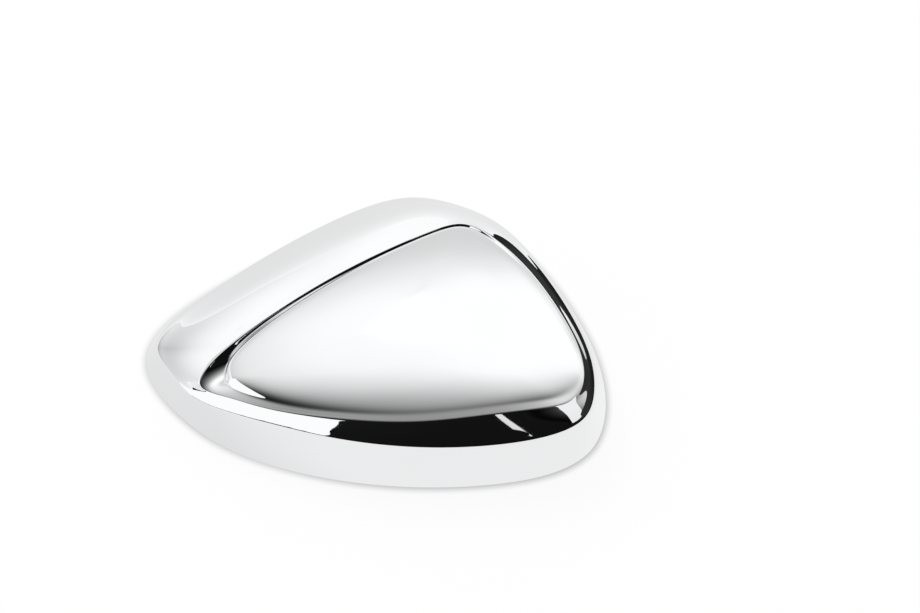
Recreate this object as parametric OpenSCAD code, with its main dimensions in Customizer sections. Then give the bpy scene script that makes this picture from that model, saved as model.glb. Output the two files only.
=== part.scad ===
// Wing mirror cover: one moulded shell that lies on its flat rim, dome up.
// X runs along its length with the pointed end at -X, Y across it, Z up from the rim.

/* [Overall] */
// Length over the rim, from the pointed end to the round end
cover_l = 215; // [190:1:240]
// Width over the rim
cover_w = 149; // [132:1:166]
// Height of the face's top above the rim
crown_h = 59; // [52:1:68]
// Wall thickness
wall_t = 2.5; // [1.8:0.1:3.2]

/* [Face] */
// Radius of the domed face along the length
face_r_long = 305; // [260:5:400]
// Radius of the domed face across it
face_r_cross = 172; // [150:2:240]
// Depth scale of the recess around the face, 1 as drawn
recess_scale = 1; // [0.6:0.05:1.2]

/* [Smoothness] */
// Steps between two ribs around the outline
rib_steps = 5; // [3:1:6]

/* [Hidden] */

// Top of the domed face in plan, and the point that the inner ribs run to
face_apex = [45, 12];
face_centre = [20, -18];
// Part of the floor's depth that is left at the lip's end, where the face's edge has nearly risen
lip_share = 0.45;
// Part of the skirt's height at which its lower ring lies, and parts of the face at its inner rings
skirt_share = 0.4;
face_shares = [0.35, 0.7];
// Most of the recess wall that its two rounded edges may take
wall_share = 0.45;
// Shift of the inner wall under the crest
under_crest = 1;

// Rim, from the pointed end along the front, the round end and the far side, in plan
rim = [
    [-111, -9.5], [-101, -28.5], [-86, -43.5], [-70, -55.5], [-46, -65.5], [-15, -73], [20, -76.5],
    [55, -75], [82, -70], [100, -60], [107, -46], [109, -29], [105.5, -8], [96.5, 13.5],
    [82.5, 37], [65, 57], [43, 69.5], [18, 76], [-12, 69], [-44, 51], [-76, 30.5], [-101.5, 11]
];

// Crest around the face, in plan, one point for each rim point
crest = [
    [-75.5, -29.5], [-80.5, -37], [-76.5, -39.5], [-66, -43.5], [-46.5, -53], [-14, -60.5], [20, -64.5],
    [55, -60.5], [78.5, -57], [91.5, -54], [97, -44.5], [95.5, -34.5], [91, -24], [81, -6.5],
    [69, 9.5], [56, 22.5], [42.5, 32], [29, 27.5], [6, 17], [-20, 4.5], [-46, -10], [-64.5, -21.5]
];

// Shoulder of each rib: place in plan, height, rounding below and above, bulge of the band
shoulder = [
    [-104, -11.5, 17, 2, 4, 1.5], [-95.5, -24, 19.5, 2, 2, 0.2], [-85, -40, 20.5, 1.5, 1.5, 0.2],
    [-68.5, -48.5, 24, 1.5, 1.5, 0.2], [-45.5, -57.5, 26.5, 2, 2, 0.2], [-14, -68, 31, 3, 2, 0.3],
    [22, -72.5, 31, 3, 2, 0.3], [56, -71.5, 32, 3, 2, 0.3], [83, -67.5, 34, 4, 2, 0.3],
    [99, -60.5, 37, 7, 2, 0.3], [102.5, -46, 38.5, 8, 2, 0.3], [101.5, -34, 44, 10, 3, 0.3],
    [96, -19.5, 47.5, 8, 3, 0.3], [85.5, -0.5, 51, 9, 3, 0.3], [73, 17.5, 53.5, 8, 4, 0.3],
    [60, 37.5, 48, 14, 5, 1.5], [42, 59, 30, 12, 13, 4.5], [16, 71, 23.5, 12, 14, 6],
    [-9, 64.5, 20, 12, 14, 6], [-43, 46.5, 16.5, 10, 9, 5], [-70, 27, 14.5, 10, 11, 7],
    [-95, 4.5, 17.5, 8, 7, 3]
];

// Recess of each rib: rise of the crest over the face, its rounding, width to the floor, depth of the floor,
// and the distances over which the face's edge rises from it and then runs true
recess = [
    [1.8, 1.4, 8, 3, 0.6, 2], [1.2, 1.2, 13, 4, 0.8, 3], [-1.8, 0.8, 10, 2, 1.5, 6],
    [-2, 0.8, 5.5, 1.6, 2, 8], [-1.2, 0.6, 4.5, 1, 2.5, 9], [-0.6, 1.5, 3.5, 0.6, 2, 8],
    [-0.5, 1, 4, 0.4, 2, 8], [-0.5, 1, 4, 0.4, 2, 8], [-0.8, 1, 5, 0.6, 2, 8], [-0.8, 1.5, 5, 1, 3, 12],
    [-1, 2, 3.5, 0.2, 4, 14], [-0.8, 2, 3, 0, 3, 12], [-1, 2, 3.5, 0.4, 4, 14],
    [-0.8, 1.5, 4, 0.4, 4, 14], [-0.5, 1.5, 2, 0.2, 3, 14], [0.4, 1, 1.5, 0.4, 0.5, 6],
    [1.4, 1, 0.8, 0.2, 0.4, 2], [1, 0.8, 1.4, 0.2, 0.4, 2], [1.2, 1.2, 1, 0.4, 0.4, 2],
    [1, 1.2, 1.4, 1, 0.4, 2], [1.4, 0.8, 2, 1.4, 0.4, 1.6], [1.6, 1.2, 4, 2.8, 0.4, 1.6]
];

// Height of the face at which the shoulders were drawn
drawn_h = 59;
ribs = len(rim);

// Weights of a smooth curve between four neighbouring points
function weights(t) = [
    pow(1 - t, 3) / 6,
    (3 * pow(t, 3) - 6 * pow(t, 2) + 4) / 6,
    (-3 * pow(t, 3) + 3 * pow(t, 2) + 3 * t + 1) / 6,
    pow(t, 3) / 6
];
function mix(four, t) = weights(t) * four;

// A closed ring of rib points, made smooth with rib_steps points for each rib
function ring_round(points) = [
    for (i = [0 : ribs - 1])
        for (s = [0 : rib_steps - 1])
            mix([for (k = [-1 : 2]) points[(i + k + ribs) % ribs]], s / rib_steps)
];

// Scale that gives the smooth rim its stated length and width, centred on the origin
rim_line = ring_round(rim);
rim_min = [min([for (p = rim_line) p.x]), min([for (p = rim_line) p.y])];
rim_max = [max([for (p = rim_line) p.x]), max([for (p = rim_line) p.y])];
drawn_mid = (rim_min + rim_max) / 2;
plan_scale = [cover_l / (rim_max.x - rim_min.x), cover_w / (rim_max.y - rim_min.y)];
function placed(p) = [
    (p.x - drawn_mid.x) * plan_scale.x,
    (p.y - drawn_mid.y) * plan_scale.y
];

function unit(v) = v / norm(v);
function flat(p, z = 0) = [p.x, p.y, z];
apex = placed(face_apex);
centre = placed(face_centre);
up = [0, 0, 1];

// Height of the domed face over a point in plan
function face_z(p) = crown_h
    - pow(p.x - apex.x, 2) / (2 * face_r_long)
    - pow(p.y - apex.y, 2) / (2 * face_r_cross);
function on_face(p, drop = 0) = flat(p, face_z(p) - drop);

// Named points of one rib, from the rim inwards
function rim_point(i) = flat(placed(rim[i]));
function crest_point(i) = on_face(placed(crest[i]), -recess[i][0] * recess_scale);
function shoulder_point(i) =
    flat(placed([shoulder[i][0], shoulder[i][1]]), shoulder[i][2] * crown_h / drawn_h);
function floor_point(i) =
    let (p = flat(crest_point(i)) + unit(flat(centre) - flat(crest_point(i))) * recess[i][2])
    on_face(p, recess[i][3] * recess_scale);
function face_point(i, run, drop = 0) =
    on_face(flat(floor_point(i)) + unit(flat(centre) - flat(floor_point(i))) * run, drop);
function face_share(i, share) =
    on_face(flat(floor_point(i)) * (1 - share) + flat(centre) * share);

// Outer side of one rib: skirt, shoulder, band, crest, recess and face
function outer_rib(i) =
    let (
        a = rim_point(i),
        b = shoulder_point(i),
        c = crest_point(i),
        d = floor_point(i),
        crest_r = min(recess[i][1], wall_share * norm(d - c)),
        lip = recess[i][4],
        lip_r = min(lip, wall_share * norm(d - c))
    ) [
        a,
        a + (b - a) * skirt_share,
        b + unit(a - b) * shoulder[i][3],
        b,
        b + unit(c - b) * shoulder[i][4],
        (b + c) / 2 + up * shoulder[i][5],
        c + unit(b - c) * recess[i][1],
        c,
        c + unit(d - c) * crest_r,
        d + unit(c - d) * lip_r,
        d,
        face_point(i, lip, recess[i][3] * lip_share * recess_scale),
        face_point(i, recess[i][5]),
        face_share(i, face_shares[0]),
        face_share(i, face_shares[1])
    ];
outer_ribs = [for (i = [0 : ribs - 1]) outer_rib(i)];

// Direction in from the rim, square to it, at one rib
function inward(i) =
    let (run = rim_point((i + 1) % ribs) - rim_point((i + ribs - 1) % ribs))
    unit([-run.y, run.x, 0]);

// A point of the outer rib moved through the wall, square to the rib there
function through_wall(i, j) =
    let (
        before = outer_ribs[i][max(j - 1, 0)],
        after = outer_ribs[i][j + 1],
        run = after - before,
        along = unit([run * inward(i), run.z])
    ) outer_ribs[i][j] + (inward(i) * along[1] - up * along[0]) * wall_t;

// Inner side of one rib, plain under the crest and the recess
function inner_rib(i) =
    let (
        c = outer_ribs[i][7],
        d = outer_ribs[i][10],
        foot = outer_ribs[i][0] + inward(i) * wall_t,
        down = up * wall_t
    ) [
        foot,
        through_wall(i, 1),
        through_wall(i, 2),
        through_wall(i, 3),
        through_wall(i, 4),
        through_wall(i, 5),
        flat(c, min(c.z, d.z)) + inward(i) * under_crest - down,
        d - down,
        outer_ribs[i][12] - down,
        outer_ribs[i][13] - down,
        outer_ribs[i][14] - down
    ];
inner_ribs = [for (i = [0 : ribs - 1]) inner_rib(i)];

// Steps between two rings of points, from the rim to the innermost ring of the face
outer_steps = [1, 1, 2, 2, 2, 3, 1, 1, 1, 1, 1, 2, 2, 1];
inner_steps = [1, 1, 2, 2, 1, 2, 1, 1, 1, 1];

// Smooth rings of one side: the ends are run straight on, so that the surface reaches them
function side_rings(side_ribs, steps) =
    let (
        last = len(steps),
        ring = [for (j = [0 : last]) ring_round([for (rib = side_ribs) rib[j]])],
        ends = concat([2 * ring[0] - ring[1]], ring, [2 * ring[last] - ring[last - 1]])
    ) [
        for (j = [0 : last - 1])
            for (s = [0 : steps[j] - 1])
                [for (m = [0 : len(ring[0]) - 1]) mix([for (k = [0 : 3]) ends[j + k][m]], s / steps[j])],
        ring[last]
    ];

outer_rings = side_rings(outer_ribs, outer_steps);
inner_rings = side_rings(inner_ribs, inner_steps);

// One closed skin: the outer rings from the face's centre down to the rim, then the inner ones up again
skin_rings = concat([for (j = [len(outer_rings) - 1 : -1 : 0]) outer_rings[j]], inner_rings);
ring_size = len(rim_line);
top_centre = on_face(centre);
skin_points = concat(
    [top_centre],
    [for (ring = skin_rings) each ring],
    [top_centre - up * wall_t]
);
last_ring = len(skin_rings) - 1;
last_point = len(skin_points) - 1;
function at(j, m) = 1 + j * ring_size + m % ring_size;
skin_faces = [
    for (m = [0 : ring_size - 1]) [0, at(0, m + 1), at(0, m)],
    for (j = [0 : last_ring - 1])
        for (m = [0 : ring_size - 1])
            each [
                [at(j, m), at(j, m + 1), at(j + 1, m + 1)],
                [at(j, m), at(j + 1, m + 1), at(j + 1, m)]
            ],
    for (m = [0 : ring_size - 1]) [last_point, at(last_ring, m), at(last_ring, m + 1)]
];

module cover_shell() {
    color("gainsboro") polyhedron(skin_points, skin_faces, convexity = 8);
}

cover_shell();
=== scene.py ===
import math

import bmesh
import bpy
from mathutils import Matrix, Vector


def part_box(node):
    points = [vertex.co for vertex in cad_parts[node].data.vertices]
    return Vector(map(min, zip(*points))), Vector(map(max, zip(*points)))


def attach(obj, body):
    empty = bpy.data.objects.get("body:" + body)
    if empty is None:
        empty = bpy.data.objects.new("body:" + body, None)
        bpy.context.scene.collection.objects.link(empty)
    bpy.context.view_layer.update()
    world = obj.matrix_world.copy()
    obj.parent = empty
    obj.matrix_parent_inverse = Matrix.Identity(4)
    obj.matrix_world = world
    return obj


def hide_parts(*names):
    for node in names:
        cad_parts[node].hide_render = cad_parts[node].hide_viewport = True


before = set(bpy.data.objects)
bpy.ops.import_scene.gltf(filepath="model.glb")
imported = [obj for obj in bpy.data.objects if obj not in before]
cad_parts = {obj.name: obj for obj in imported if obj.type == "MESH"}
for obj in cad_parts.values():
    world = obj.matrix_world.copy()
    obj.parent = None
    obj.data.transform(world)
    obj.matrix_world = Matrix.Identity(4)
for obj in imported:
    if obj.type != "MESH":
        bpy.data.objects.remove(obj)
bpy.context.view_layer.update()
metre = 0.001  # shapes are worked out in millimetres and brought to metres at the end
up = Vector((0, 0, 1))


# The cover's shell: ribs run from the rim over the shoulder and the crest to the middle of the face

coverShell = {
    # rim in plan, from the pointed end along the front, the round end and the far side
    "rim": [
        (-111, -9.5), (-101, -28.5), (-86, -43.5), (-70, -55.5), (-46, -65.5), (-15, -73), (20, -76.5),
        (55, -75), (82, -70), (100, -60), (107, -46), (109, -29), (105.5, -8), (96.5, 13.5),
        (82.5, 37), (65, 57), (43, 69.5), (18, 76), (-12, 69), (-44, 51), (-76, 30.5), (-101.5, 11),
    ],
    # crest around the face in plan, one point for each rim point
    "crest": [
        (-75.5, -29.5), (-80.5, -37), (-76.5, -39.5), (-66, -43.5), (-46.5, -53), (-14, -60.5), (20, -64.5),
        (55, -60.5), (78.5, -57), (91.5, -54), (97, -44.5), (95.5, -34.5), (91, -24), (81, -6.5),
        (69, 9.5), (56, 22.5), (42.5, 32), (29, 27.5), (6, 17), (-20, 4.5), (-46, -10), (-64.5, -21.5),
    ],
    # shoulder: place in plan and height, rounding below and above, bulge of the band above it
    "shoulder": [
        (-104, -11.5, 17, 2, 4, 1.5), (-95.5, -24, 19.5, 2, 2, 0.2),
        (-85, -40, 20.5, 1.5, 1.5, 0.2), (-68.5, -48.5, 24, 1.5, 1.5, 0.2),
        (-45.5, -57.5, 26.5, 2, 2, 0.2), (-14, -68, 31, 3, 2, 0.3), (22, -72.5, 31, 3, 2, 0.3),
        (56, -71.5, 32, 3, 2, 0.3), (83, -67.5, 34, 4, 2, 0.3), (99, -60.5, 37, 7, 2, 0.3),
        (102.5, -46, 38.5, 8, 2, 0.3), (101.5, -34, 44, 10, 3, 0.3), (96, -19.5, 47.5, 8, 3, 0.3),
        (85.5, -0.5, 51, 9, 3, 0.3), (73, 17.5, 53.5, 8, 4, 0.3), (60, 37.5, 48, 14, 5, 1.5),
        (42, 59, 30, 12, 13, 4.5), (16, 71, 23.5, 12, 14, 6), (-9, 64.5, 20, 12, 14, 6),
        (-43, 46.5, 16.5, 10, 9, 5), (-70, 27, 14.5, 10, 11, 7), (-95, 4.5, 17.5, 8, 7, 3),
    ],
    # recess: rise of the crest over the face, its rounding, width to the floor, depth of the floor, and the
    # distances over which the face's edge rises from it and then runs true
    "recess": [
        (1.8, 1.4, 8, 3, 0.6, 2), (1.2, 1.2, 13, 4, 0.8, 3), (-1.8, 0.8, 10, 2, 1.5, 6),
        (-2, 0.8, 5.5, 1.6, 2, 8), (-1.2, 0.6, 4.5, 1, 2.5, 9), (-0.6, 1.5, 3.5, 0.6, 2, 8),
        (-0.5, 1, 4, 0.4, 2, 8), (-0.5, 1, 4, 0.4, 2, 8), (-0.8, 1, 5, 0.6, 2, 8),
        (-0.8, 1.5, 5, 1, 3, 12), (-1, 2, 3.5, 0.2, 4, 14), (-0.8, 2, 3, 0, 3, 12),
        (-1, 2, 3.5, 0.4, 4, 14), (-0.8, 1.5, 4, 0.4, 4, 14), (-0.5, 1.5, 2, 0.2, 3, 14),
        (0.4, 1, 1.5, 0.4, 0.5, 6), (1.4, 1, 0.8, 0.2, 0.4, 2), (1, 0.8, 1.4, 0.2, 0.4, 2),
        (1.2, 1.2, 1, 0.4, 0.4, 2), (1, 1.2, 1.4, 1, 0.4, 2), (1.4, 0.8, 2, 1.4, 0.4, 1.6),
        (1.6, 1.2, 4, 2.8, 0.4, 1.6),
    ],
    # face: a dome with its top in plan and height, its two radii, and the point that all ribs run to
    "faceApex": (45, 12), "faceTop": 59, "faceRadiusLong": 305, "faceRadiusCross": 172,
    "faceCentre": (20, -18), "faceShares": (0.35, 0.7),
    # how far up the skirt its middle ring lies, how much of the recess's wall a rounding may take, and
    # how much of the floor's depth is left at the foot of the face's edge
    "skirtShare": 0.4, "wallShare": 0.45, "lipShare": 0.45,
    "wall": 2.5, "underCrest": 1,
    # edges bridged on each side to close the face, and the first of them
    "gridSide": 5, "gridStart": 2, "smoothLevels": 3,
}
crestAt, floorAt, faceAt = 7, 10, 12  # places along a rib of the crest, the floor and the face's edge


def flat(point):
    return Vector((point[0], point[1], 0))


def onFace(point, drop=0):
    shell = coverShell
    along, across = point[0] - shell["faceApex"][0], point[1] - shell["faceApex"][1]
    dome = along ** 2 / (2 * shell["faceRadiusLong"]) + across ** 2 / (2 * shell["faceRadiusCross"])
    return Vector((point[0], point[1], shell["faceTop"] - dome - drop))


def outerRib(i):
    shell = coverShell
    right, back, high, roundBelow, roundAbove, bulge = shell["shoulder"][i]
    rise, crestRound, floorWidth, floorDrop, lip, run = shell["recess"][i]
    centre = flat(shell["faceCentre"])
    rim = flat(shell["rim"][i])
    crest = onFace(shell["crest"][i], -rise)
    shoulder = Vector((right, back, high))
    floor = onFace(flat(crest) + (centre - flat(crest)).normalized() * floorWidth, floorDrop)
    inward = (centre - flat(floor)).normalized()
    room = shell["wallShare"] * (floor - crest).length
    return [
        rim,
        rim.lerp(shoulder, shell["skirtShare"]),
        shoulder + (rim - shoulder).normalized() * roundBelow,
        shoulder,
        shoulder + (crest - shoulder).normalized() * roundAbove,
        shoulder.lerp(crest, 0.5) + up * bulge,
        crest + (shoulder - crest).normalized() * crestRound,
        crest,
        crest + (floor - crest).normalized() * min(crestRound, room),
        floor + (crest - floor).normalized() * min(lip, room),
        floor,
        onFace(flat(floor) + inward * lip, floorDrop * shell["lipShare"]),
        onFace(flat(floor) + inward * run),
        *[onFace(flat(floor).lerp(centre, share)) for share in shell["faceShares"]],
    ]


def innerRib(i, outer):
    shell = coverShell
    rim = shell["rim"]
    run = flat(rim[(i + 1) % len(rim)]) - flat(rim[i - 1])
    inward = Vector((-run.y, run.x, 0)).normalized()
    down = up * shell["wall"]

    def throughWall(j):
        step = outer[j + 1] - outer[j - 1]
        along = Vector((step.dot(inward), step.z)).normalized()
        return outer[j] + (inward * along[1] - up * along[0]) * shell["wall"]

    crest, floor = outer[crestAt], outer[floorAt]
    return [
        outer[0] + inward * shell["wall"],
        *[throughWall(j) for j in range(1, crestAt - 1)],
        flat(crest) + up * min(crest.z, floor.z) + inward * shell["underCrest"] - down,
        *[point - down for point in (floor, *outer[faceAt:])],
    ]


def climb(bm, edges, ribOf, rings):
    for ring in rings:
        made = bmesh.ops.extrude_edge_only(bm, edges=edges)["geom"]
        for vert in (g for g in made if isinstance(g, bmesh.types.BMVert)):
            vert.co = ring[vert[ribOf]]
        edges = [g for g in made if isinstance(g, bmesh.types.BMEdge)]
    return edges


def closeFace(bm, edges, ribOf, drop):
    # two opposite sides of the ring are bridged by a grid, whose inner points lie on the dome
    shell = coverShell
    count, side = len(shell["rim"]), shell["gridSide"]

    def place(edge):
        a, b = sorted(vert[ribOf] for vert in edge.verts)
        return b if b - a > 1 else a

    ring = sorted(edges, key=place)
    starts = (shell["gridStart"], shell["gridStart"] + count // 2)
    sides = [edge for start in starts for edge in ring[start:start + side]]
    held = {vert for edge in edges for vert in edge.verts}
    made = bmesh.ops.grid_fill(bm, edges=sides, mat_nr=0, use_smooth=True, use_interp_simple=False)
    for vert in {v for face in made["faces"] for v in face.verts} - held:
        vert.co = onFace(vert.co, drop)


def makeShell():
    shell = coverShell
    count = len(shell["rim"])
    outer = [outerRib(i) for i in range(count)]
    inner = [innerRib(i, rib) for i, rib in enumerate(outer)]
    outerRings, innerRings = list(zip(*outer)), list(zip(*inner))

    bm = bmesh.new()
    ribOf = bm.verts.layers.int.new("rib")
    crease = bm.edges.layers.float.new("crease_edge")
    circle = bmesh.ops.create_circle(bm, cap_ends=False, radius=shell["faceTop"], segments=count)["verts"]
    for i, vert in enumerate(circle):
        vert[ribOf] = i
        vert.co = outerRings[0][i]
    rimEdges = bm.edges[:]
    top = climb(bm, rimEdges, ribOf, outerRings[1:])
    closeFace(bm, top, ribOf, 0)
    footEdges = climb(bm, rimEdges, ribOf, innerRings[:1])
    outside = len(bm.faces)
    under = climb(bm, footEdges, ribOf, innerRings[1:])
    closeFace(bm, under, ribOf, shell["wall"])
    bm.faces.ensure_lookup_table()
    for i, face in enumerate(bm.faces):
        face.smooth = True
        face.material_index = int(i >= outside)
    for edge in rimEdges + footEdges:
        edge[crease] = 1
        edge.smooth = False
    bmesh.ops.recalc_face_normals(bm, faces=bm.faces)
    bm.verts.layers.int.remove(ribOf)
    mesh = bpy.data.meshes.new("coverShellCage")
    bm.to_mesh(mesh)
    bm.free()

    cage = bpy.data.objects.new("coverShellCage", mesh)
    bpy.context.scene.collection.objects.link(cage)
    smooth = cage.modifiers.new("smooth", "SUBSURF")
    smooth.levels = smooth.render_levels = shell["smoothLevels"]
    bpy.context.view_layer.update()
    evaluated = cage.evaluated_get(bpy.context.evaluated_depsgraph_get())
    skin = bpy.data.objects.new("coverShellSkin", bpy.data.meshes.new_from_object(evaluated))
    bpy.context.scene.collection.objects.link(skin)
    bpy.data.objects.remove(cage)
    seatOn(skin, "cover_shell")
    return skin


def seatOn(piece, node):
    # the smooth shape is brought to the node's own box, which also turns millimetres to metres
    low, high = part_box(node)
    places = [vert.co for vert in piece.data.vertices]
    first = [min(place[k] for place in places) for k in range(3)]
    last = [max(place[k] for place in places) for k in range(3)]
    for place in places:
        for k in range(3):
            part = (place[k] - first[k]) / (last[k] - first[k])
            place[k] = low[k] + part * (high[k] - low[k])


# Materials

def linear(hexColour):
    # a screen colour as the light values that the shader works with
    channels = [int(hexColour[k:k + 2], 16) / 255 for k in (1, 3, 5)]
    return [c / 12.92 if c <= 0.04045 else ((c + 0.055) / 1.055) ** 2.4 for c in channels] + [1]


def addNode(tree, kind, links=None, **settings):
    # inputs are given by name, anything else is a setting of the node itself
    node = tree.nodes.new(kind)
    for name, value in settings.items():
        spaced = name.replace("_", " ")
        if spaced in node.inputs:
            node.inputs[spaced].default_value = value
        else:
            setattr(node, name, value)
    for name, source in (links or {}).items():
        tree.links.new(source, node.inputs[name])
    return node


def newMaterial(name):
    material = bpy.data.materials.new(name)
    material.use_nodes = True
    tree = material.node_tree
    tree.nodes.clear()
    return material, tree, tree.nodes.new("ShaderNodeOutputMaterial")


# Bright chrome over nickel and copper on moulded ABS: a hard, neutral mirror. The moulding under it
# leaves a slow orange peel that only bends long reflections a little.
brightPlate = {
    "colour": "#F0F1F2", "secondTint": "#EEEEEF", "tintPatch": 60,
    "roughLow": 0.012, "roughHigh": 0.035, "hazePatch": 25,
    "peelWidth": 16, "peelDepth": 0.004,
}

# The same plating on the unpolished side of the tool: current is weak inside a hollow, so the deposit
# is thin, greyer and satin.
satinPlate = {
    "colour": "#C9CBCD", "secondTint": "#BDBDBB", "tintPatch": 45,
    "roughLow": 0.26, "roughHigh": 0.38, "hazePatch": 12,
    "peelWidth": 0.9, "peelDepth": 0.006,
}


def plateMaterial(name, look):
    material, tree, output = newMaterial(name)
    place = addNode(tree, "ShaderNodeTexCoord").outputs["Object"]
    tint, haze, peel = (
        addNode(tree, "ShaderNodeTexNoise", {"Vector": place}, Scale=1 / (look[size] * metre), Detail=detail)
        for size, detail in (("tintPatch", 1), ("hazePatch", 3), ("peelWidth", 1))
    )
    # a colour mix has its two colours in sockets 6 and 7, and its result in 2
    colour = addNode(tree, "ShaderNodeMix", data_type="RGBA")
    colour.inputs[6].default_value = linear(look["colour"])
    colour.inputs[7].default_value = linear(look["secondTint"])
    tree.links.new(tint.outputs["Fac"], colour.inputs[0])
    rough = addNode(tree, "ShaderNodeMapRange", {"Value": haze.outputs["Fac"]},
                    To_Min=look["roughLow"], To_Max=look["roughHigh"])
    bump = addNode(tree, "ShaderNodeBump", {"Height": peel.outputs["Fac"]}, Strength=1,
                   Distance=look["peelDepth"] * metre)
    surface = addNode(tree, "ShaderNodeBsdfPrincipled", {
        "Base Color": colour.outputs[2],
        "Roughness": rough.outputs["Result"],
        "Normal": bump.outputs["Normal"],
    }, Metallic=1)
    tree.links.new(surface.outputs["BSDF"], output.inputs["Surface"])
    return material


print("stage: cover shell")
skin = makeShell()
skin.data.materials.append(plateMaterial("brightChromePlate", brightPlate))
skin.data.materials.append(plateMaterial("satinPlateInside", satinPlate))
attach(skin, "root")
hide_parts("cover_shell")


# Floor, backdrop cards and light. The room and its cards are seen only in the chrome.

studio = {
    # the floor's own brightness, the paper that takes the lamp's light, and how far the painted contact
    # shade reaches
    "floorSize": 6, "floorGlow": 0.88, "floorPaper": 0.12, "paintedShadeReach": 0.004,
    # the floor as the chrome sees it: tones by distance from the middle, a painted shade darker near the
    # cover, and the tone in front of a slanted line, where no painted shade falls
    "paintedShadeFade": [(0.06, 0.8), (0.12, 0.87), (0.23, 0.93), (0.6, 1.02), (1, 1.06)],
    "floorFront": 0.96, "frontBand": (0.027, 0.08), "frontSlant": 0.3,
    "skyLight": 0.82, "lampPower": 9, "lampSize": 1.1, "lampPlace": (-0.5, 0.9, 1.5),
    "roomSize": 2.5, "roomSegments": 32, "roomRings": 16,
}


def stageObject(name, bm, material, chromeOnly=True):
    mesh = bpy.data.meshes.new(name)
    bm.to_mesh(mesh)
    bm.free()
    piece = bpy.data.objects.new(name, mesh)
    piece.data.materials.append(material)
    bpy.context.scene.collection.objects.link(piece)
    if chromeOnly:
        piece.visible_camera = piece.visible_diffuse = piece.visible_shadow = False
        piece.visible_transmission = piece.visible_volume_scatter = False


def grey(value):
    return (value, value, value, 1)


def feed(tree, node, sources):
    # each source is a plain value or another node's output, and goes to the socket of that number
    for k, source in sources.items():
        if isinstance(source, (int, float)):
            node.inputs[k].default_value = source
        else:
            tree.links.new(source, node.inputs[k])
    return node.outputs[0]


def maths(tree, operation, first, second=0.0):
    return feed(tree, addNode(tree, "ShaderNodeMath", operation=operation), {0: first, 1: second})


def blended(tree, part, first, second):
    return feed(tree, addNode(tree, "ShaderNodeMix", data_type="FLOAT"), {0: part, 2: first, 3: second})


def ramped(tree, value, low, high, start, end, smooth=True):
    kind = "SMOOTHSTEP" if smooth else "LINEAR"
    node = addNode(tree, "ShaderNodeMapRange", {"Value": value}, From_Min=low, From_Max=high,
                   To_Min=start, To_Max=end, interpolation_type=kind)
    return node.outputs["Result"]


def faded(tree, value, stops):
    # a smooth curve through the stops, each of them a place and a tone
    first, last = stops[0][0], stops[-1][0]
    most = max(tone for place, tone in stops)
    part = ramped(tree, value, first, last, 0, 1, smooth=False)
    node = addNode(tree, "ShaderNodeFloatCurve", {"Value": part})
    points = node.mapping.curves[0].points
    points[0].location = (0, stops[0][1] / most)
    points[-1].location = (1, stops[-1][1] / most)
    for place, tone in stops[1:-1]:
        points.new((place - first) / (last - first), tone / most)
    node.mapping.update()
    return maths(tree, "MULTIPLY", node.outputs[0], most)


def floorMaterial():
    # white paper: to the camera it glows evenly bright with a painted contact shadow from an occlusion node,
    # and its paper takes the lamp's real shadow; in the chrome it shows a painted shade, darker near the
    # cover
    material, tree, output = newMaterial("whitePaperTable")
    path = addNode(tree, "ShaderNodeLightPath")
    place = addNode(tree, "ShaderNodeTexCoord").outputs["Object"]
    away = addNode(tree, "ShaderNodeVectorMath", {"Vector": place}, operation="LENGTH").outputs["Value"]
    parts = addNode(tree, "ShaderNodeSeparateXYZ", {"Vector": place}).outputs
    sideways = maths(tree, "MULTIPLY", parts["X"], studio["frontSlant"])
    # painted shade in the chrome: behind a slanted line the floor darkens towards the cover, in front of it
    # keeps one tone
    clearOfPaintedShade = ramped(tree, maths(tree, "SUBTRACT", sideways, parts["Y"]), *studio["frontBand"], 0, 1)
    paintedShadeInChrome = blended(tree, clearOfPaintedShade, faded(tree, away, studio["paintedShadeFade"]), studio["floorFront"])
    # painted contact shadow: an occlusion node darkens the floor's even glow near the cover
    paintedContactShade = addNode(tree, "ShaderNodeAmbientOcclusion", Distance=studio["paintedShadeReach"]).outputs["AO"]
    glowWithPaintedShade = maths(tree, "MULTIPLY", paintedContactShade, studio["floorGlow"])
    glow = addNode(tree, "ShaderNodeEmission", {"Color": glowWithPaintedShade}, Strength=1)
    paper = addNode(tree, "ShaderNodeBsdfDiffuse", Color=grey(studio["floorPaper"]))
    seen = addNode(tree, "ShaderNodeAddShader")
    tree.links.new(glow.outputs[0], seen.inputs[0])
    tree.links.new(paper.outputs[0], seen.inputs[1])
    inChrome = addNode(tree, "ShaderNodeEmission", {"Color": paintedShadeInChrome}, Strength=1)
    both = addNode(tree, "ShaderNodeMixShader", {"Fac": path.outputs["Is Glossy Ray"]})
    tree.links.new(seen.outputs[0], both.inputs[1])
    tree.links.new(inChrome.outputs[0], both.inputs[2])
    tree.links.new(both.outputs[0], output.inputs["Surface"])
    return material


def makeFloor():
    bm = bmesh.new()
    bmesh.ops.create_grid(bm, x_segments=1, y_segments=1, size=studio["floorSize"] / 2)
    stageObject("floor", bm, floorMaterial(), chromeOnly=False)


# The soft light overhead, laid out on a plane one metre up: it fades from a centre and to the front
overhead = {
    "centre": (0.25, 0.15), "across": 0.38, "slant": 0.09, "horizon": 0.02,
    "sideFade": [
        (0.2, 1.15), (0.26, 1.13), (0.41, 0.95), (0.6, 0.78), (0.8, 0.78), (1.1, 0.85),
        (1.4, 1.05), (1.6, 1.13),
    ],
    "frontFade": [
        (-1.2, 0.01), (-0.85, 0.025), (-0.72, 0.08), (-0.6, 0.2), (-0.45, 0.46), (-0.27, 0.8),
        (-0.12, 1),
    ],
}


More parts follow.
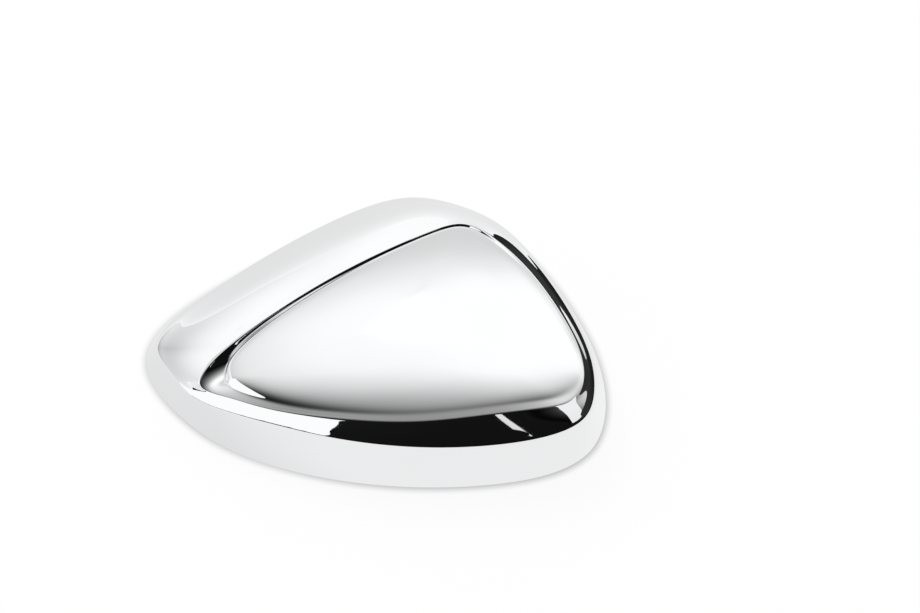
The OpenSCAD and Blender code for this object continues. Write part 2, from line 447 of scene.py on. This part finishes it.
def roomMaterial():
    material, tree, output = newMaterial("softRoomLight")
    light = overhead
    place = addNode(tree, "ShaderNodeTexCoord").outputs["Object"]
    parts = addNode(tree, "ShaderNodeSeparateXYZ", {"Vector": place}).outputs
    high = maths(tree, "MAXIMUM", parts["Z"], light["horizon"])
    across, along = (maths(tree, "DIVIDE", parts[axis], high) for axis in "XY")
    right = maths(tree, "MULTIPLY", maths(tree, "SUBTRACT", across, light["centre"][0]), light["across"])
    back = maths(tree, "SUBTRACT", along, light["centre"][1])
    squares = maths(tree, "ADD", maths(tree, "MULTIPLY", right, right), maths(tree, "MULTIPLY", back, back))
    side = faded(tree, maths(tree, "SQRT", squares), light["sideFade"])
    front = maths(tree, "ADD", along, maths(tree, "MULTIPLY", across, light["slant"]))
    tone = maths(tree, "MULTIPLY", side, faded(tree, front, light["frontFade"]))
    glow = addNode(tree, "ShaderNodeEmission", {"Color": tone}, Strength=1)
    tree.links.new(glow.outputs[0], output.inputs["Surface"])
    return material


def makeRoom():
    bm = bmesh.new()
    bmesh.ops.create_uvsphere(bm, u_segments=studio["roomSegments"], v_segments=studio["roomRings"],
                              radius=studio["roomSize"])
    stageObject("room", bm, roomMaterial())


# Curved cards round the table. Each stop has its azimuth from +X towards +Y, the elevations of the foot
# and the top, and their tones.
cards = {
    "front": {"away": 0.95, "stops": [
        (-122, -2, 37, 0.006, 0.01), (-60, -2, 38, 0.004, 0.006), (-30, -2, 38, 0.004, 0.03),
        (0, -2, 32, 0.004, 0.04), (40, -2, 22, 0.004, 0.04), (78, -2, 16, 0.01, 0.05),
    ]},
    "back": {"away": 0.96, "stops": [(78, -2, 14, 1.05, 1.13), (105, -2, 14, 1.12, 1.13)]},
    "left": {"away": 0.955, "stops": [
        (105, -2, 4.5, 1.1, 1.12), (112, -2, 7, 1.03, 1.13), (120, -2, 12, 0.91, 1.13),
        (127, -2, 18, 0.88, 1.13), (135, -2, 23.5, 0.64, 1.13), (150, -2, 31, 0.25, 1.13),
        (170, -2, 30, 0.5, 1.1), (200, -2, 29, 1, 1.1),
    ]},
    "frontLeft": {"away": 0.94, "stops": [
        (-172, 6, 37, 1.12, 1.12), (-160, 6, 36, 1.12, 1.12), (-150, 6, 34, 1.12, 1.12),
        (-119, 6, 34, 1.12, 1.12),
    ]},
    "frontLeftDark": {"away": 0.94, "stops": [
        (-160, -2, 2, 0.01, 0.02), (-150, -2, 6, 0.01, 0.02), (-122, -2, 8, 0.01, 0.02),
    ]},
    "windowWide": {"away": 0.92, "stops": [(-57, 38, 50, 0.95, 1), (-32, 38, 50, 0.95, 1)]},
    "windowNarrow": {"away": 0.92, "stops": [(-77.5, 30, 37, 0.8, 0.9), (-76, 30, 37, 0.8, 0.9)]},
}
cardStep = 3  # degrees between two edges of a card


def cardMaterial():
    # each card carries its own tone, from its foot to its top
    material, tree, output = newMaterial("litCard")
    tone = addNode(tree, "ShaderNodeAttribute", attribute_name="tone").outputs["Fac"]
    glow = addNode(tree, "ShaderNodeEmission", {"Color": tone}, Strength=1)
    tree.links.new(glow.outputs["Emission"], output.inputs["Surface"])
    return material


def stopAt(stops, azimuth):
    # the stop between two written ones
    for before, after in zip(stops, stops[1:]):
        if azimuth <= after[0]:
            break
    part = (azimuth - before[0]) / (after[0] - before[0])
    return [a + part * (b - a) for a, b in zip(before, after)]


def makeCard(name, card, material):
    # an upright edge is swept round the table, then its foot, top and tones are set for each azimuth
    away, stops = card["away"], card["stops"]
    start, span = stops[0][0], stops[-1][0] - stops[0][0]
    bm = bmesh.new()
    tone = bm.verts.layers.float.new("tone")
    first = math.radians(start)
    ends = [bm.verts.new((away * math.cos(first), away * math.sin(first), z)) for z in (0, 1)]
    edge = bm.edges.new(ends)
    bmesh.ops.spin(
        bm, geom=[*ends, edge], cent=(0, 0, 0), axis=up, dvec=(0, 0, 0), angle=math.radians(span),
        steps=math.ceil(span / cardStep), use_merge=False, use_duplicate=False,
    )
    for vert in bm.verts:
        turned = (math.degrees(math.atan2(vert.co.y, vert.co.x)) - start) % 360
        # the first edge may read as a full turn, and then belongs at the start
        azimuth = start + (0 if turned > span + cardStep / 2 else turned)
        foot, top, footTone, topTone = stopAt(stops, azimuth)[1:]
        atTop = vert.co.z > 0.5  # the edge was drawn from 0 to 1
        vert[tone] = topTone if atTop else footTone
        vert.co.z = away * math.tan(math.radians(top if atTop else foot))
    stageObject(name, bm, material)


def makeWorld():
    world = bpy.data.worlds.new("studio")
    world.use_nodes = True
    tree = world.node_tree
    tree.nodes.clear()
    path = addNode(tree, "ShaderNodeLightPath")
    seen = maths(tree, "MAXIMUM", path.outputs["Is Camera Ray"], path.outputs["Is Glossy Ray"])
    strength = ramped(tree, seen, 0, 1, studio["skyLight"], 1, smooth=False)
    sky = addNode(tree, "ShaderNodeBackground", {"Strength": strength}, Color=(1, 1, 1, 1))
    output = tree.nodes.new("ShaderNodeOutputWorld")
    tree.links.new(sky.outputs["Background"], output.inputs["Surface"])
    bpy.context.scene.world = world


def makeLamp():
    data = bpy.data.lights.new("softBox", "AREA")
    data.energy = studio["lampPower"]
    data.size = studio["lampSize"]
    lamp = bpy.data.objects.new("softBox", data)
    lamp.location = studio["lampPlace"]
    lamp.rotation_euler = (-lamp.location).to_track_quat("-Z", "Y").to_euler()
    lamp.visible_glossy = False
    bpy.context.scene.collection.objects.link(lamp)


# The photograph's camera: it looks down on the table at 60 degrees
view = {"aim": (0.0397, 0.021, 0), "distance": 1.25, "elevation": 60, "lens": 102.95}


def makeCamera():
    data = bpy.data.cameras.new("camera")
    data.lens = view["lens"]
    camera = bpy.data.objects.new("camera", data)
    raised = math.radians(view["elevation"])
    back = Vector((0, -math.cos(raised), math.sin(raised)))
    camera.location = Vector(view["aim"]) + view["distance"] * back
    camera.rotation_euler = (math.radians(90 - view["elevation"]), 0, 0)
    bpy.context.scene.collection.objects.link(camera)
    bpy.context.scene.camera = camera


print("stage: floor, cards, light and camera")
makeFloor()
makeRoom()
litCard = cardMaterial()
for name, card in cards.items():
    makeCard(name, card, litCard)
makeWorld()
makeLamp()
makeCamera()
bpy.context.scene.view_settings.view_transform = "Standard"

print("stage: finished")
